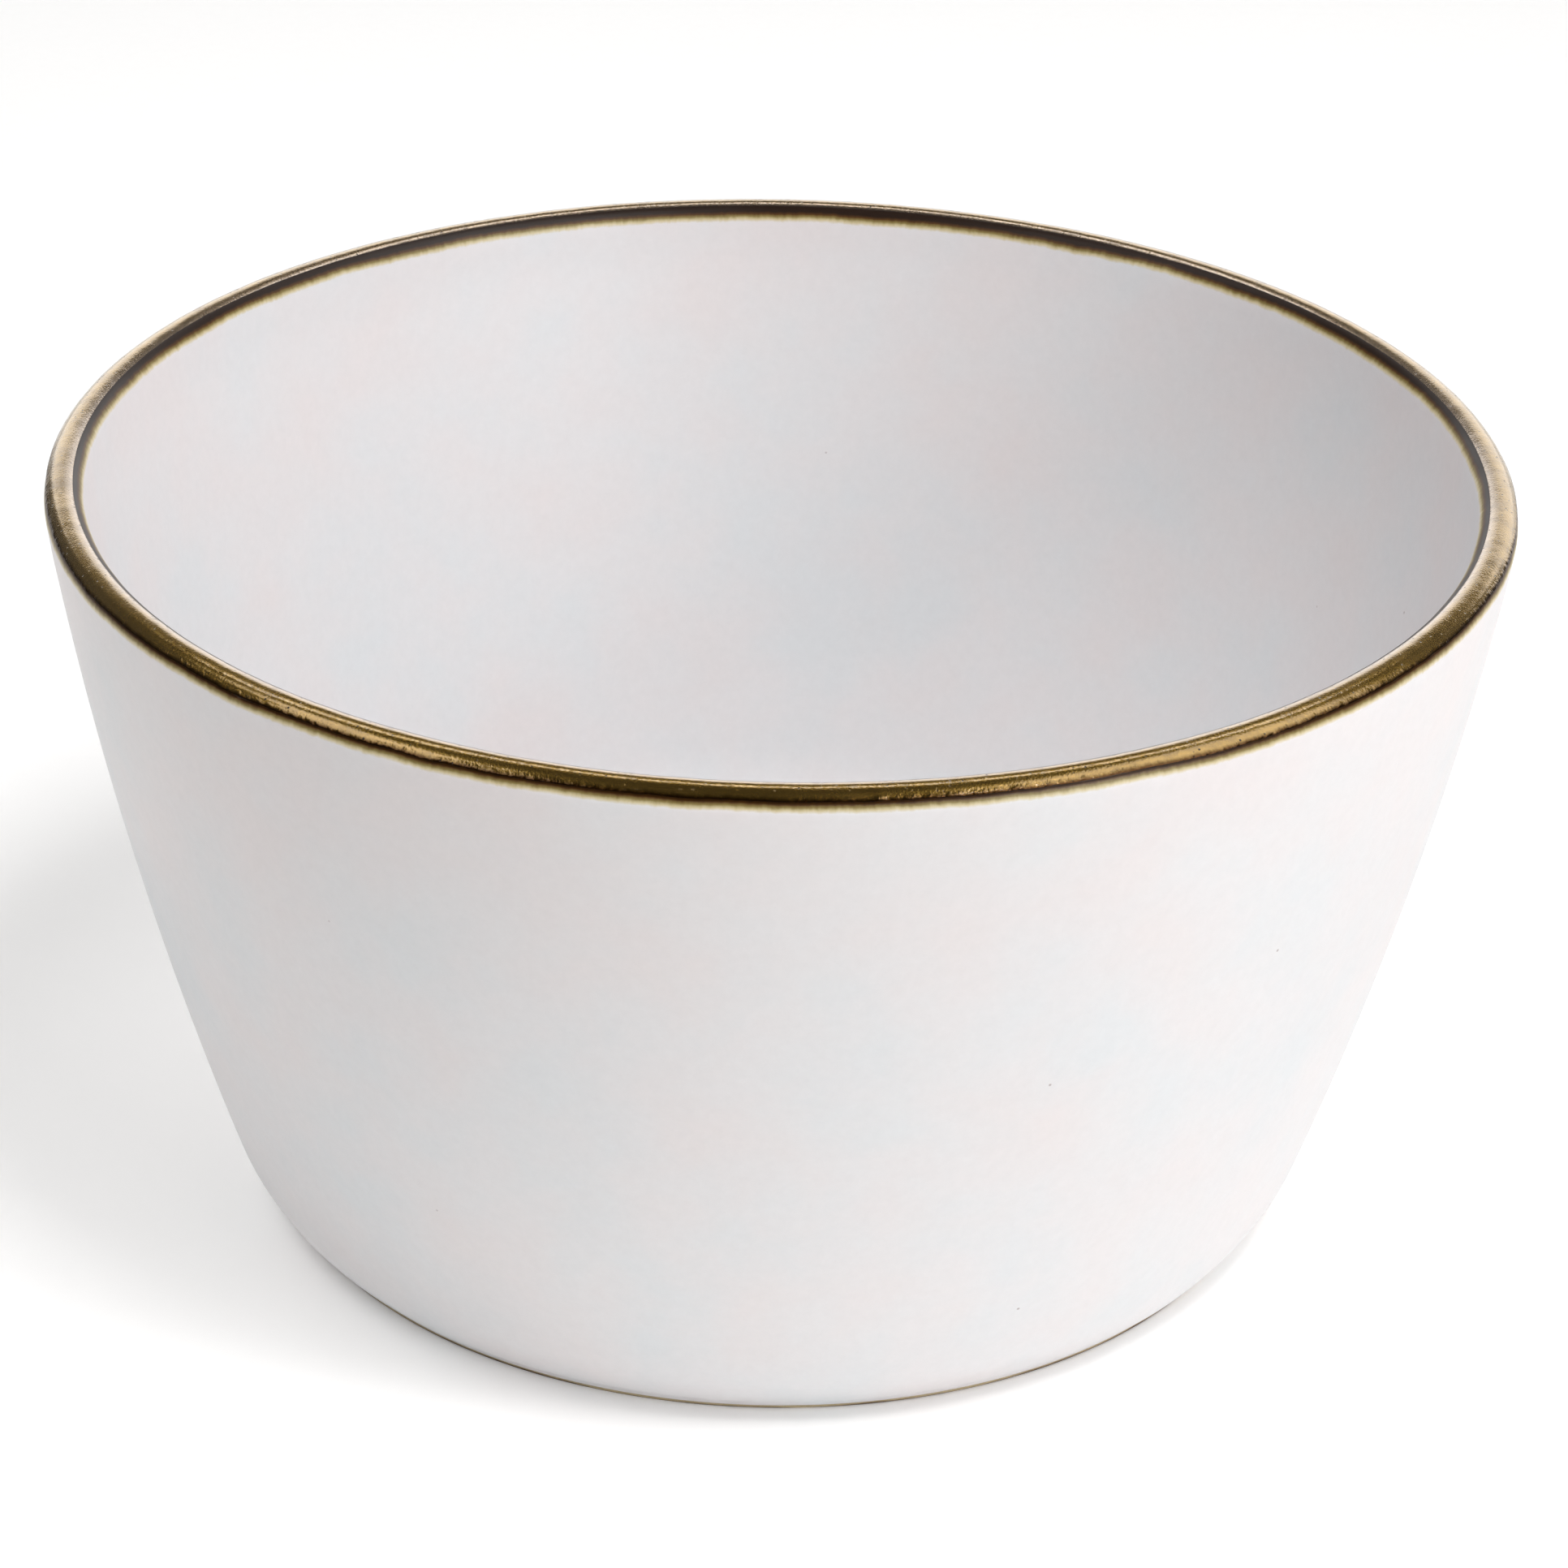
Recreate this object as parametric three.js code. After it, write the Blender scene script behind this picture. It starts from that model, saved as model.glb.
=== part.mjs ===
// Porcelain serving bowl: a deep, steep-walled bowl on a low foot ring. The fired clay carries a white
// glaze outside, inside and under the floor, and an iron-stained bronze glaze over its lip. The foot
// is bare from its lower edge inwards.
// Millimetres, +Z up. The origin is the centre of the circle that the foot ring stands on.
import * as THREE from 'three';

// Driving dimensions. Slopes are degrees between the wall and the vertical, and the band's edge is
// given in degrees up the lip's round from its widest point.
const RIM_RADIUS = 80;
const HEIGHT = 86;
const WALL_THICKNESS = 4.3;
const WALL_ARC_RADIUS = 464;
const RIM_SLOPE = 8.6;
const HEEL_SLOPE = 18.1;
const HEEL_RADIUS = 20;
const FLOOR_HEIGHT = 6.2;
const INNER_CORNER_RADIUS = 18;
const FOOT_RADIUS = 57.2;
const FOOT_WIDTH = 3.8;
const FOOT_HEIGHT = 1.8;
const FOOT_BARE_HEIGHT = 0.4;
const RECESS_DEPTH = 2.2;
const GLAZE_THICKNESS = 0.4;
const STAIN_THICKNESS = 0.12;
const BAND_EDGE_ANGLE = 25;

// Fineness: steps round the bowl, and along each stretch of its section.
const ROUND_STEPS = 64;
const WALL_STEPS = 4;
const HEEL_STEPS = 3;
const BAND_HALF_STEPS = 3;
const CORNER_STEPS = 6;
const EDGE_STEPS = 3;

const { degToRad, lerp } = THREE.MathUtils;

// The section is drawn in the half-plane of radius and height, as arcs that meet tangentially.
// Each arc is given by its centre and by the direction from the centre to the arc, as an angle
// from the radial direction, positive upwards.

const rimAngle = degToRad(RIM_SLOPE);
const heelAngle = degToRad(HEEL_SLOPE);
const bandAngle = degToRad(BAND_EDGE_ANGLE);
const lipRadius = WALL_THICKNESS / 2;
const lipCentre = new THREE.Vector2(RIM_RADIUS - lipRadius, HEIGHT - lipRadius);
const wallCentre = along(lipCentre, lipRadius - WALL_ARC_RADIUS, -rimAngle);
const heelCentre = along(wallCentre, WALL_ARC_RADIUS - HEEL_RADIUS, -heelAngle);
const heelEndAngle = Math.asin((heelCentre.y - FOOT_HEIGHT) / HEEL_RADIUS);
const clayHeelEnd = along(heelCentre, HEEL_RADIUS - GLAZE_THICKNESS, -heelEndAngle);

const innerWallRadius = WALL_ARC_RADIUS - WALL_THICKNESS;
const innerCornerDrop = wallCentre.y - FLOOR_HEIGHT - INNER_CORNER_RADIUS;
const innerCornerAngle = Math.asin(innerCornerDrop / (innerWallRadius - INNER_CORNER_RADIUS));
const innerCornerCentre = along(wallCentre, innerWallRadius - INNER_CORNER_RADIUS, -innerCornerAngle);

const footClayRadius = FOOT_RADIUS - GLAZE_THICKNESS;
const footInnerRadius = FOOT_RADIUS - FOOT_WIDTH;
const footTop = clayHeelEnd.y;
const recessCeiling = RECESS_DEPTH + GLAZE_THICKNESS;
const recessRadius = footInnerRadius - (recessCeiling - footTop);

// The point at a distance from a start point, in a direction given by its angle.
function along(start, distance, angle) {
  return new THREE.Vector2(start.x + distance * Math.cos(angle), start.y + distance * Math.sin(angle));
}

// Evenly spaced points on an arc. Its first point is left out where it ends the stretch before.
function arc(centre, radius, fromAngle, toAngle, steps, firstStep = 0) {
  const points = [];
  for (let step = firstStep; step <= steps; step += 1) {
    points.push(along(centre, radius, lerp(fromAngle, toAngle, step / steps)));
  }
  return points;
}

// The bowl's surface in three stretches, each at a given depth under the finished glaze. They run
// from the foot up the outside, over the lip, and down the inside to the middle of the floor.

function outsideStretch(depth) {
  const step = along(heelCentre, HEEL_RADIUS - depth, -heelEndAngle);
  return [
    new THREE.Vector2(FOOT_RADIUS - depth, FOOT_BARE_HEIGHT),
    new THREE.Vector2(FOOT_RADIUS - depth, step.y),
    ...arc(heelCentre, HEEL_RADIUS - depth, -heelEndAngle, -heelAngle, HEEL_STEPS),
    ...arc(wallCentre, WALL_ARC_RADIUS - depth, -heelAngle, -rimAngle, WALL_STEPS, 1),
    along(lipCentre, lipRadius - depth, 0),
    along(lipCentre, lipRadius - depth, bandAngle),
  ];
}

function bandStretch(depth) {
  const radius = lipRadius - depth;
  return [
    ...arc(lipCentre, radius, bandAngle, Math.PI / 2, BAND_HALF_STEPS),
    ...arc(lipCentre, radius, Math.PI / 2, Math.PI - bandAngle, BAND_HALF_STEPS, 1),
  ];
}

function insideStretch(depth) {
  const wallRadius = innerWallRadius + depth;
  const cornerRadius = INNER_CORNER_RADIUS + depth;
  return [
    along(lipCentre, lipRadius - depth, Math.PI - bandAngle),
    ...arc(wallCentre, wallRadius, -rimAngle, -innerCornerAngle, WALL_STEPS),
    ...arc(innerCornerCentre, cornerRadius, -innerCornerAngle, -Math.PI / 2, CORNER_STEPS, 1),
    new THREE.Vector2(0, FLOOR_HEIGHT - depth),
  ];
}

// A solid of revolution about +Z from a section that ends on the axis or closes on itself.
function turned(name, section, material) {
  const geometry = new THREE.LatheGeometry(section, ROUND_STEPS);
  geometry.rotateX(Math.PI / 2);
  const mesh = new THREE.Mesh(geometry, material);
  mesh.name = name;
  return mesh;
}

// A coat that fills the space between one stretch of the surface at two depths.
function coat(name, stretch, topDepth, bottomDepth, material) {
  const top = stretch(topDepth);
  const bottom = stretch(bottomDepth).reverse();
  const section = [...top, ...bottom];
  if (section[0].x > 0) {
    section.push(section[0]);
  }
  return turned(name, section, material);
}

const bareClay = new THREE.MeshStandardMaterial({ color: 0xd9cfc4, roughness: 0.75, metalness: 0 });
const whiteGlaze = new THREE.MeshStandardMaterial({ color: 0xe9e4e2, roughness: 0.3, metalness: 0 });
const ironStain = new THREE.MeshStandardMaterial({ color: 0x2b170c, roughness: 0.6, metalness: 0 });
const bronzeGlaze = new THREE.MeshStandardMaterial({ color: 0x9a7a48, roughness: 0.3, metalness: 0.6 });

// The clay of the bowl: its underside, then the surface under the glaze from the foot to the floor.
function porcelainBody() {
  const section = [
    new THREE.Vector2(0, recessCeiling),
    new THREE.Vector2(recessRadius, recessCeiling),
    new THREE.Vector2(footInnerRadius, footTop),
    ...outsideStretch(GLAZE_THICKNESS).slice(1),
    ...bandStretch(GLAZE_THICKNESS).slice(1),
    ...insideStretch(GLAZE_THICKNESS).slice(1),
  ];
  return turned('porcelain_body', section, bareClay);
}

// The ring under the floor, with its two lower edges rounded. Its flat underside is the part's rest.
function footRing() {
  const edge = FOOT_BARE_HEIGHT;
  const top = new THREE.Vector2(footInnerRadius, footTop);
  const section = [
    top,
    ...arc(new THREE.Vector2(footInnerRadius + edge, edge), edge, Math.PI, 1.5 * Math.PI, EDGE_STEPS),
    ...arc(new THREE.Vector2(footClayRadius - edge, edge), edge, -Math.PI / 2, 0, EDGE_STEPS),
    new THREE.Vector2(footClayRadius, footTop),
    top,
  ];
  return turned('foot_ring', section, bareClay);
}

// The disc of white glaze inside the foot ring. Its rim meets the slope that leads down to the ring.
function baseGlaze() {
  const section = [
    new THREE.Vector2(0, RECESS_DEPTH),
    new THREE.Vector2(recessRadius, RECESS_DEPTH),
    new THREE.Vector2(recessRadius, recessCeiling),
    new THREE.Vector2(0, recessCeiling),
  ];
  return turned('base_glaze', section, whiteGlaze);
}

const stainTop = GLAZE_THICKNESS - STAIN_THICKNESS;

const bowl = new THREE.Group();
bowl.add(
  porcelainBody(),
  footRing(),
  coat('outer_glaze', outsideStretch, 0, GLAZE_THICKNESS, whiteGlaze),
  coat('inner_glaze', insideStretch, 0, GLAZE_THICKNESS, whiteGlaze),
  baseGlaze(),
  coat('rim_stain', bandStretch, stainTop, GLAZE_THICKNESS, ironStain),
  coat('rim_glaze', bandStretch, 0, stainTop, bronzeGlaze),
);

export default bowl;
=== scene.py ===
"""Looks of a porcelain serving bowl with a bronze-glazed lip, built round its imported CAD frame."""
import math

import bmesh
import bpy
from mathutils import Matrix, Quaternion, Vector


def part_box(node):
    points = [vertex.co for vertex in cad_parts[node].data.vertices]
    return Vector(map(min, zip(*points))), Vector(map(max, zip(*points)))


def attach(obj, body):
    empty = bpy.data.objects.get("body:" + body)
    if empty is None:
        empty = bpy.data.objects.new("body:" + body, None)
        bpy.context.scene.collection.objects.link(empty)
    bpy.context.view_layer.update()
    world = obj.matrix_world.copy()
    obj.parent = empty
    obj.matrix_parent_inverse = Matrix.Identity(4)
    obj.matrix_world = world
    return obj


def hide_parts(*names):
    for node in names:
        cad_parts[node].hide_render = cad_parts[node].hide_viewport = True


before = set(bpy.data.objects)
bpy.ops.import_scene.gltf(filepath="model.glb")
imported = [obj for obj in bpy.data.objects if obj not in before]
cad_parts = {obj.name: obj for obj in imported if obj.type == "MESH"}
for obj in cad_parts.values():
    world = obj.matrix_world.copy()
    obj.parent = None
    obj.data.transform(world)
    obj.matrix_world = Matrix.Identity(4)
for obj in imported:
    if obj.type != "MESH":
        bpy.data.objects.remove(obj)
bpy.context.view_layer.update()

bl_info = {
    "name": "Porcelain Serving Bowl",
    "version": (1, 0, 0),
    "blender": (4, 5, 0),
    "location": "3D View > Sidebar > Bowl",
    "description": "Builds a glazed porcelain bowl, coat by coat, and a plain studio round it",
    "category": "Add Mesh",
}

MM = 0.001
BODY = "root"
STRAIGHT_UP = math.pi / 2

# A noise texture runs about this far to each side of its middle, and nearly all of it lies in a
# range that a MapRange node takes whole.
NOISE_MIDDLE = 0.5
NOISE_SWING = 0.25
NOISE_RANGE = {"From Min": 0.3, "From Max": 0.7}

# The heights and radii that the frame already holds.
RIM_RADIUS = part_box("outer_glaze")[1][0]
BOWL_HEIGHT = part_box("rim_glaze")[1][2]
GLAZE = RIM_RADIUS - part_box("porcelain_body")[1][0]
FLOOR_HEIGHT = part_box("inner_glaze")[0][2] + GLAZE
FOOT_CLAY_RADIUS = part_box("foot_ring")[1][0]
FOOT_RADIUS = FOOT_CLAY_RADIUS + GLAZE
FOOT_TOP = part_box("foot_ring")[1][2]
FOOT_BARE_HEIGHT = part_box("outer_glaze")[0][2]
RECESS_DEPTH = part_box("base_glaze")[0][2]

# Small sizes of the coats that the frame leaves out.
FOOT_FILLET = 0.8 * MM          # hollow where the foot's glazed side meets the heel
FOOT_GLAZE_TAPER = 0.32 * MM    # how much the glaze thins towards the foot's bare edge
FOOT_EDGE_RADIUS = 0.4 * FOOT_BARE_HEIGHT
BASE_GLAZE_ROLL = 0.15 * MM     # round edge of the glaze under the floor
GLAZE_SINK = 0.08 * MM          # how much deeper the white glaze lies under the lip's coats
STAIN_DEPTHS = (0.02 * MM, 0.2 * MM)
BRONZE_DEPTHS = (0.0, 0.1 * MM)
COAT_FLATNESS = 14              # power of the curve from a lip coat's crest to its edges
CRISP_ANGLE = math.radians(50)  # edges of a coat that bend more than this stay sharp


def linear(hex_colour):
    """A colour given as an sRGB hex value, as the linear RGB that shaders use."""
    channels = [int(hex_colour[i:i + 2], 16) / 255 for i in (1, 3, 5)]
    return tuple(c / 12.92 if c <= 0.04045 else ((c + 0.055) / 1.055) ** 2.4 for c in channels)


def colour_property(name, description, hex_colour):
    return bpy.props.FloatVectorProperty(
        name=name, description=description, subtype="COLOR", size=3, min=0, max=1,
        default=linear(hex_colour))


def length_property(name, description, millimetres):
    return bpy.props.FloatProperty(
        name=name, description=description, unit="LENGTH", subtype="DISTANCE", min=0,
        default=millimetres * MM)


def angle_property(name, description, degrees):
    return bpy.props.FloatProperty(
        name=name, description=description, unit="ROTATION", subtype="ANGLE",
        default=math.radians(degrees))


def place_property(name, description, place):
    return bpy.props.FloatVectorProperty(
        name=name, description=description, subtype="TRANSLATION", unit="LENGTH", default=place)


class BowlShape(bpy.types.PropertyGroup):
    """Sizes of the turned form that the frame's boxes don't give."""

    wall: length_property("Wall", "Thickness of the wall and of the round lip", 4.3)
    wall_arc: length_property("Wall arc", "Radius of the wall's long outward curve", 464)
    rim_slope: angle_property("Rim slope", "Lean of the wall just under the lip", 8.6)
    heel_slope: angle_property("Heel slope", "Lean of the wall where it turns under", 18.1)
    heel_radius: length_property("Heel radius", "Radius of the turn from the wall to the foot", 20)
    corner_radius: length_property(
        "Inner corner", "Radius between the wall and the floor inside", 18)
    foot_width: length_property("Foot width", "Width of the foot ring, its glaze included", 3.8)
    rounds: bpy.props.IntProperty(
        name="Rounds", description="Faces round each turned coat", default=360, min=64)


class BowlGlaze(bpy.types.PropertyGroup):
    """How the coats lie on the clay, and their colours."""

    bronze_spread: length_property(
        "Bronze spread", "From the lip's crest to the bronze coat's edge", 2.1)
    stain_spread: length_property(
        "Stain spread", "From the lip's crest to the dark stain's edge", 2.35)
    lean: length_property(
        "Lean", "How much further the lip's coats reach outside than their spread", 0.4)
    dip_tilt: length_property(
        "Dip tilt", "How much deeper they reach at the back than at the sides", 0.35)
    bleed: length_property("Bleed", "How far the stain fades into the white glaze", 0.95)
    feather: length_property("Feather", "Length of the streaks that break up a coat's edge", 0.1)
    drift: length_property("Edge drift", "How far the coats' edges wander to each side", 0.2)
    drift_length: length_property("Drift length", "Distance along the lip between wanders", 14)
    ripple: length_property("Ripple", "Depth of the soft waves in the fired white glaze", 0.05)
    bead_ripple: length_property("Bead ripple", "Depth of the waves in the glaze on the lip", 0.09)
    white: colour_property("White", "Satin white glaze", "#DEDCDD")
    cool: colour_property("Cool white", "Cooler patches of the white glaze", "#DADCDE")
    blush: colour_property("Blush", "Warmer patches of the white glaze", "#E0DADA")
    pinhole: colour_property("Pinhole", "Tiny specks where gas broke through the glaze", "#7C625C")
    bronze: colour_property("Bronze", "Metallic glaze on the crest of the lip", "#AE8A3E")
    # Painted reflection: silvery colour put on the bronze's inner side for the bright panels
    # mirrored there.
    painted_silver_reflection: colour_property("Pearl", "Silvery bloom of the bronze on its inner side", "#C6BDBE")
    brown: colour_property("Brown", "Dark patches in the bronze", "#4C3010")
    stain: colour_property("Stain", "Iron stain beside the bronze", "#1E0F05")
    olive: colour_property("Olive", "Where the stain thins under the white glaze", "#7E6C2E")
    tan: colour_property("Tan", "Palest reach of the stain", "#C2B070")
    clay: colour_property("Clay", "Bare fired clay", "#CDBB96")
    toast: colour_property("Toasted edge", "Brown flash on the bare edge of the foot", "#4A2E18")


class BowlStudio(bpy.types.PropertyGroup):
    """The floor, the lights and the camera."""

    camera: place_property("Camera", "Where the camera stands", (0, -0.52, 0.31457))
    aim: place_property("Aim", "Point that the camera looks at", (0.00098, 0, 0.04583))
    roll: angle_property("Roll", "Tilt of the camera about its own view, anticlockwise", 1.297)
    lens: bpy.props.FloatProperty(
        name="Lens", description="Focal length on a 36 mm sensor, in millimetres", default=119.33)
    floor: colour_property("Floor", "Pale seamless table", "#F8F7F6")
    table_glow: bpy.props.FloatProperty(
        name="Table glow", description="Light that comes up through the table", default=0.06, min=0)
    # Painted light: extra glow of the floor round the bowl, a pool of light that washes out its
    # shadow.
    painted_glow_near_bowl: bpy.props.FloatProperty(
        name="Lamp glow", description="The same near the bowl, over the lamp", default=0.16, min=0)


# --- Nodes ----------------------------------------------------------------------------------------


def add_node(tree, kind, inputs=None, **settings):
    """Adds a node. An input, by name or number, takes a value, a socket or another node."""
    node = tree.nodes.new(kind)
    for name, value in settings.items():
        setattr(node, name, value)
    for key, value in (inputs or {}).items():
        named = (socket for socket in node.inputs if socket.enabled and socket.name == key)
        socket = node.inputs[key] if isinstance(key, int) else next(named)
        if isinstance(value, bpy.types.Node):
            value = next(output for output in value.outputs if output.enabled)
        if isinstance(value, bpy.types.NodeSocket):
            tree.links.new(value, socket)
        elif socket.type == "RGBA" and len(value) == 3:
            socket.default_value = (*value, 1)
        else:
            socket.default_value = value
    return node


def lip_centre(shape):
    """Centre of the lip's round in the section, as radius and height."""
    half = shape.wall / 2
    return Vector((RIM_RADIUS - half, BOWL_HEIGHT - half))


# How far apart the noise for the two sides of the lip is read, so that they wander unlike.
SIDES_APART = 5.0


def edge_drift(tree, heading, side, glaze):
    """How far beyond its spread a coat's edge lies at a heading round the lip.

    The shapes and the materials both use it. The coats reach deeper outside and at the back, and
    the rest wanders. heading is the unit vector from the axis, and side is 1 outside the crest and
    -1 inside it.
    """
    turns = RIM_RADIUS / glaze.drift_length
    lift = add_node(tree, "ShaderNodeMath", {0: side, 1: SIDES_APART}, operation="MULTIPLY")
    apart = add_node(tree, "ShaderNodeCombineXYZ", {"Z": lift})
    where = add_node(
        tree, "ShaderNodeVectorMath", {0: heading, 1: (turns,) * 3, 2: apart},
        operation="MULTIPLY_ADD")
    noise = add_node(
        tree, "ShaderNodeTexNoise",
        {"Vector": where, "Scale": 1.0, "Detail": 3.0, "Roughness": 0.6})
    swing = glaze.drift / NOISE_SWING
    wander = add_node(
        tree, "ShaderNodeMath", {0: noise, 1: swing, 2: -NOISE_MIDDLE * swing},
        operation="MULTIPLY_ADD")
    back = add_node(tree, "ShaderNodeSeparateXYZ", {0: heading}).outputs["Y"]
    tilted = add_node(
        tree, "ShaderNodeMath", {0: back, 1: glaze.dip_tilt, 2: wander}, operation="MULTIPLY_ADD")
    return add_node(
        tree, "ShaderNodeMath", {0: side, 1: glaze.lean, 2: tilted}, operation="MULTIPLY_ADD")


# --- Sections -------------------------------------------------------------------------------------


def along(start, distance, angle):
    return Vector((start[0] + distance * math.cos(angle), start[1] + distance * math.sin(angle)))


def arc(centre, radius, start, end, steps):
    """Points on an arc of the section, both ends included."""
    return [along(centre, radius, start + (end - start) * i / steps) for i in range(steps + 1)]


# Points along each stretch of the section.
SECTION_STEPS = {"heel": 12, "wall": 60, "lip": 18, "inner wall": 48, "corner": 24}
FOOT_STEPS = 4
FLOOR_STEPS = 24
CEILING_STEPS = 12
RING_STEPS = 3
EDGE_STEPS = 8
COAT_STEPS = 28

# The white glaze reaches its full depth under the lip's coats after this share of its way up.
SINK_SHARE = 0.6


class Section:
    """The bowl's section as arcs that meet tangentially, in radius and height.

    Angles are measured at an arc's centre from the outward radius, upwards.
    """

    def __init__(self, shape):
        self.lip_radius = shape.wall / 2
        self.lip_centre = lip_centre(shape)
        self.rim = shape.rim_slope
        self.heel = shape.heel_slope
        self.wall_arc = shape.wall_arc
        self.wall_centre = along(self.lip_centre, self.lip_radius - shape.wall_arc, -self.rim)
        self.heel_radius = shape.heel_radius
        self.heel_centre = along(self.wall_centre, self.wall_arc - self.heel_radius, -self.heel)
        clay_drop = self.heel_centre[1] - FOOT_TOP
        self.heel_end = math.asin(clay_drop / (self.heel_radius - GLAZE))
        self.inner_arc = shape.wall_arc - shape.wall
        self.corner_radius = shape.corner_radius
        reach = self.inner_arc - self.corner_radius
        self.corner = math.asin((self.wall_centre[1] - FLOOR_HEIGHT - self.corner_radius) / reach)
        self.corner_centre = along(self.wall_centre, reach, -self.corner)
        self.foot_inner = FOOT_RADIUS - shape.foot_width

    def outside(self, depth, top, lip_depth=0.0, fine=1.0):
        """From the foot's side up to an angle on the lip, at a depth under the finished glaze.

        lip_depth is how much deeper it lies by the top, where another coat covers it.
        """
        steps = {name: max(2, round(count * fine)) for name, count in SECTION_STEPS.items()}
        start = along(self.heel_centre, self.heel_radius - depth, -self.heel_end)
        side = FOOT_RADIUS - depth
        fillet = 0 if depth else FOOT_FILLET
        taper = 0 if depth else FOOT_GLAZE_TAPER
        height = start[1] - fillet - FOOT_BARE_HEIGHT
        heel = self.heel_radius - depth
        climb = [i / FOOT_STEPS for i in range(FOOT_STEPS + 1)]
        return [
            *[Vector((side - taper * (1 - up) ** 2, FOOT_BARE_HEIGHT + height * up))
              for up in climb],
            *arc((side + fillet, start[1] - fillet), fillet, math.pi, STRAIGHT_UP, FOOT_STEPS)[1:],
            *arc(self.heel_centre, heel, -self.heel_end, -self.heel, steps["heel"]),
            *arc(self.wall_centre, self.wall_arc - depth, -self.heel, -self.rim, steps["wall"])[1:],
            *self.sink(-self.rim, top, depth, lip_depth, steps["lip"])[1:],
        ]

    def inside(self, depth, top, lip_depth=0.0, fine=1.0):
        """The same from an angle on the lip down the inner wall to the middle of the floor."""
        steps = {name: max(2, round(count * fine)) for name, count in SECTION_STEPS.items()}
        wall, corner = self.inner_arc + depth, self.corner_radius + depth
        inwards = [1 - i / FLOOR_STEPS for i in range(1, FLOOR_STEPS + 1)]
        return [
            *self.sink(math.pi - self.rim, top, depth, lip_depth, steps["lip"])[::-1],
            *arc(self.wall_centre, wall, -self.rim, -self.corner, steps["inner wall"])[1:],
            *arc(self.corner_centre, corner, -self.corner, -STRAIGHT_UP, steps["corner"])[1:],
            *[Vector((self.corner_centre[0] * share, FLOOR_HEIGHT - depth)) for share in inwards],
        ]

    def sink(self, start, top, depth, lip_depth, steps):
        """Points on the lip from its side to an angle near the crest, sinking by lip_depth."""
        points = []
        for i in range(steps + 1):
            share = i / steps
            ease = min(1, share / SINK_SHARE)
            down = depth + lip_depth * ease * ease * (3 - 2 * ease)
            angle = start + (top - start) * share
            points.append(along(self.lip_centre, self.lip_radius - down, angle))
        return points


# --- Shape trees ----------------------------------------------------------------------------------


def new_shape_tree(name, lengths):
    """A shape tree with a section in, a coat out, named lengths, rounds, a seed and a material."""
    tree = bpy.data.node_groups.new(name, "GeometryNodeTree")
    kinds = {"Section": "Geometry", **dict.fromkeys(lengths, "Float"), "Rounds": "Int",
             "Seed": "Float", "Material": "Material"}
    for label, kind in kinds.items():
        socket = tree.interface.new_socket(label, in_out="INPUT", socket_type=f"NodeSocket{kind}")
        if label in lengths:
            socket.subtype = "DISTANCE"
    tree.interface.new_socket("Coat", in_out="OUTPUT", socket_type="NodeSocketGeometry")
    return tree, add_node(tree, "NodeGroupInput").outputs


def turn_grid(tree, given):
    """A grid with a row for each point of the section and a column for each step of the turn.

    Gives the grid, the section's point that each vertex stands for, and the vertex's turn.
    """
    size = add_node(
        tree, "GeometryNodeAttributeDomainSize", {"Geometry": given["Section"]}, component="MESH")
    columns = add_node(tree, "FunctionNodeIntegerMath", {0: given["Rounds"], 1: 1}, operation="ADD")
    grid = add_node(
        tree, "GeometryNodeMeshGrid",
        {"Vertices X": size.outputs["Point Count"], "Vertices Y": columns})
    index = add_node(tree, "GeometryNodeInputIndex")
    row = add_node(
        tree, "FunctionNodeIntegerMath", {0: index, 1: columns}, operation="DIVIDE_FLOOR")
    column = add_node(
        tree, "FunctionNodeIntegerMath", {0: index, 1: columns}, operation="FLOORED_MODULO")
    position = add_node(tree, "GeometryNodeInputPosition")
    point = add_node(
        tree, "GeometryNodeSampleIndex",
        {"Geometry": given["Section"], "Value": position, "Index": row},
        data_type="FLOAT_VECTOR", domain="POINT")
    share = add_node(tree, "ShaderNodeMath", {0: column, 1: given["Rounds"]}, operation="DIVIDE")
    turn = add_node(tree, "ShaderNodeMath", {0: share, 1: math.tau}, operation="MULTIPLY")
    return grid, point, turn


# Lengths of the waves in fired glaze: on the wall, on the lip, and the fine ones over those.
WAVES = (22 * MM, 5 * MM, 1.6 * MM)
FINE_WAVE_SHARE = 0.3
LIP_ZONE = 4 * MM    # the short waves fade out this far under the lip's centre
WELD = 0.001 * MM


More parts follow.
